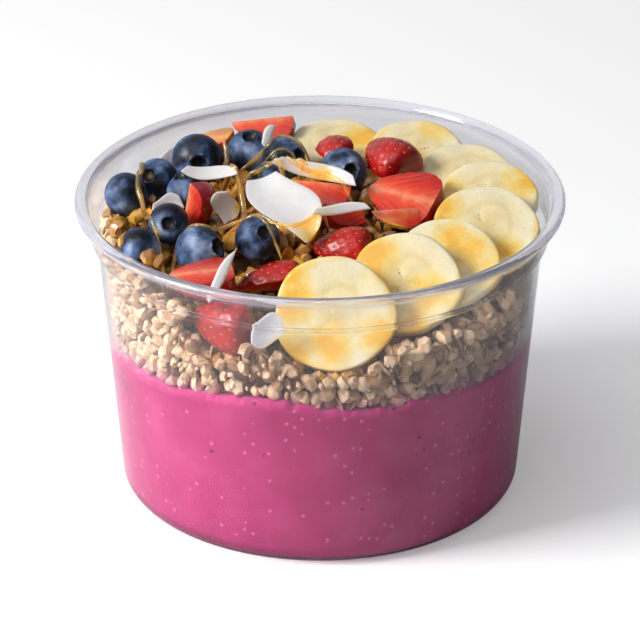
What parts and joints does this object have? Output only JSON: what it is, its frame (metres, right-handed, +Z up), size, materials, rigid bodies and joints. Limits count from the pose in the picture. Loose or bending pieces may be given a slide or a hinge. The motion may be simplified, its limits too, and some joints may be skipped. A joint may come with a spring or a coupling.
{
  "type": "pitaya bowl",
  "caption": "Round clear plastic tub filled with pink pitaya smoothie and granola, topped with sliced banana, strawberry pieces, blueberries and coconut flakes.",
  "frame": {"origin": "middle of the cup's foot, on the surface that it stands on", "axes": "+Z up along the cup's axis; -Y towards the viewer; +X to the viewer's right"},
  "size_m": [0.117, 0.117, 0.0822],
  "materials": {
    "clear_plastic": "clear and glossy, like PET",
    "smoothie": "moist, opaque magenta puree",
    "granola": "dry, rough baked oats",
    "banana": "moist cut flesh",
    "strawberry": "wet and glossy",
    "blueberry": "waxy bloom",
    "coconut": "waxy white flesh"
  },
  "bodies": {
    "root": {"cup": "clear_plastic", "smoothie": "smoothie", "granola": "granola", "banana_slice_1": "banana", "banana_slice_2": "banana", "banana_slice_3": "banana", "banana_slice_4": "banana", "banana_slice_5": "banana", "banana_slice_6": "banana", "banana_slice_7": "banana", "banana_slice_8": "banana", "strawberry_front_wall": "strawberry", "strawberry_front_cut": "strawberry", "strawberry_front_long": "strawberry", "strawberry_back_left": "strawberry", "strawberry_back_tall": "strawberry", "strawberry_back": "strawberry", "strawberry_left": "strawberry", "strawberry_middle_back": "strawberry", "strawberry_middle": "strawberry", "strawberry_middle_right": "strawberry", "strawberry_middle_front": "strawberry", "strawberry_right_cut": "strawberry", "strawberry_right_skin": "strawberry", "blueberry_01": "blueberry", "blueberry_02": "blueberry", "blueberry_03": "blueberry", "blueberry_04": "blueberry", "blueberry_05": "blueberry", "blueberry_06": "blueberry", "blueberry_07": "blueberry", "blueberry_08": "blueberry", "blueberry_09": "blueberry", "blueberry_10": "blueberry", "blueberry_11": "blueberry", "blueberry_12": "blueberry", "coconut_big": "coconut", "coconut_round": "coconut", "coconut_small": "coconut", "coconut_strip_left": "coconut", "coconut_strip_middle": "coconut", "coconut_thin_right": "coconut", "coconut_thin_front": "coconut", "coconut_back_left": "coconut", "coconut_back": "coconut", "coconut_wall": "coconut"}
  },
  "joints": []
}
